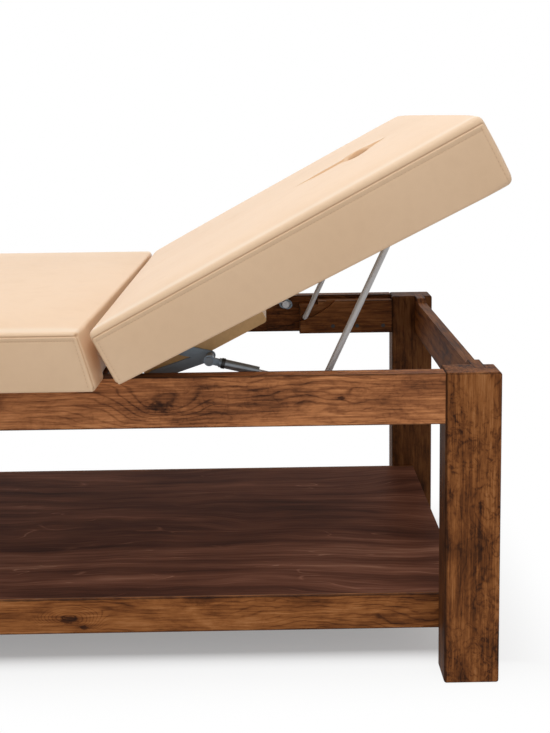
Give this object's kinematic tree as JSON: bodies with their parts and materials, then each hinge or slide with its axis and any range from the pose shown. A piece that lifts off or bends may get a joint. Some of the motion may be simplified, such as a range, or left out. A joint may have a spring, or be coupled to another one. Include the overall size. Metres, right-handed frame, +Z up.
{
  "type": "spa bed",
  "caption": "Spa treatment bed with an open stained timber frame, a lower shelf, cream upholstery and a lifting backrest held by a prop.",
  "frame": {"origin": "on the floor, midway along the overall length and on the centre plane", "axes": "+X along the bed to the head end, +Y across it away from the side in the picture, +Z up"},
  "size_m": [1.835, 0.808, 0.9091],
  "materials": {
    "stained_timber": "red-brown stained and oiled solid timber",
    "shelf_veneer": "dark brown satin panel",
    "plywood": "plain birch plywood",
    "pad_timber": "tan sealed timber",
    "dowel_wood": "plain beech",
    "upholstery": "cream leatherette over foam, double stitched",
    "blue_grey_steel": "blue-grey satin paint",
    "rod_steel": "drawn bright steel",
    "plated_steel": "zinc plated",
    "black_plastic": "black moulded"
  },
  "bodies": {
    "frame": {"leg_head_near": "stained_timber", "leg_head_far": "stained_timber", "leg_foot_near": "stained_timber", "leg_foot_far": "stained_timber", "long_rail_near": "stained_timber", "long_rail_far": "stained_timber", "end_rail_head": "stained_timber", "end_rail_foot": "stained_timber", "lower_rail_near": "stained_timber", "lower_rail_far": "stained_timber", "shelf_bearer_1": "stained_timber", "shelf_bearer_2": "stained_timber", "shelf_bearer_3": "stained_timber", "shelf_bearer_4": "stained_timber", "shelf_panel": "shelf_veneer", "bearer_screws": "plated_steel", "frame_bolts": "plated_steel", "barrel_nuts": "plated_steel", "hinge_rail": "stained_timber", "cross_rail_1": "stained_timber", "cross_rail_2": "stained_timber", "dowels": "dowel_wood", "base_board_screws": "plated_steel", "base_board": "plywood", "base_cushion": "upholstery", "hinge_frame_leaf_near": "plated_steel", "hinge_frame_leaf_far": "plated_steel", "hinge_pin_near": "plated_steel", "hinge_pin_far": "plated_steel", "hinge_rail_screws": "plated_steel", "guide_block_near": "stained_timber", "guide_block_far": "stained_timber", "block_screws": "plated_steel", "rail_stud_near": "plated_steel", "rail_stud_far": "plated_steel"},
    "backrest": {"backrest_board": "plywood", "backrest_cushion": "upholstery", "backrest_screws": "plated_steel", "hinge_back_leaf_near": "plated_steel", "hinge_back_leaf_far": "plated_steel", "lift_pad": "pad_timber", "pad_screws": "plated_steel", "prop_saddle_near": "black_plastic", "prop_saddle_far": "black_plastic", "lift_bracket_near": "blue_grey_steel", "lift_bracket_far": "blue_grey_steel", "lift_stud_near": "plated_steel", "lift_stud_far": "plated_steel"},
    "prop": {"prop_frame": "rod_steel"},
    "strut_near": {"strut_eye_near": "blue_grey_steel", "strut_collar_near": "black_plastic", "strut_tube_near": "blue_grey_steel"},
    "strut_rod_near": {"strut_rod_near": "rod_steel", "strut_slot_plate_near": "blue_grey_steel"},
    "strut_far": {"strut_eye_far": "blue_grey_steel", "strut_collar_far": "black_plastic", "strut_tube_far": "blue_grey_steel"},
    "strut_rod_far": {"strut_rod_far": "rod_steel", "strut_slot_plate_far": "blue_grey_steel"}
  },
  "joints": [
    {"name": "back_tilt", "type": "hinge", "parent": "frame", "child": "backrest", "pos_m": [0.2965, 0, 0.55], "axis": [0, -1, 0], "range_deg": [-27.45, 6]},
    {"name": "prop_swing", "type": "hinge", "parent": "backrest", "child": "prop", "pos_m": [0.75319, 0, 0.74039], "axis": [0, -1, 0], "range_deg": [-37.53, 8.28]},
    {"name": "strut_swing_near", "type": "hinge", "parent": "backrest", "child": "strut_near", "pos_m": [0.45135, -0.292, 0.53625], "axis": [0, -1, 0], "range_deg": [-12.1, 55]},
    {"name": "strut_stroke_near", "type": "slide", "parent": "strut_near", "child": "strut_rod_near", "axis": [0.9715, 0, -0.2372], "range_m": [-0.0037, 0.01657]},
    {"name": "strut_swing_far", "type": "hinge", "parent": "backrest", "child": "strut_far", "pos_m": [0.45135, 0.292, 0.53625], "axis": [0, -1, 0], "range_deg": [-12.1, 55]},
    {"name": "strut_stroke_far", "type": "slide", "parent": "strut_far", "child": "strut_rod_far", "axis": [0.9715, 0, -0.2372], "range_m": [-0.0037, 0.01657]}
  ],
  "couplings": [
    {"joint": "prop_swing", "follows": "back_tilt", "ratio": 1.3636},
    {"joint": "strut_swing_near", "follows": "back_tilt", "ratio": -2},
    {"joint": "strut_stroke_near", "follows": "back_tilt", "m_per_rad": -0.034377},
    {"joint": "strut_swing_far", "follows": "back_tilt", "ratio": -2},
    {"joint": "strut_stroke_far", "follows": "back_tilt", "m_per_rad": -0.034377}
  ]
}
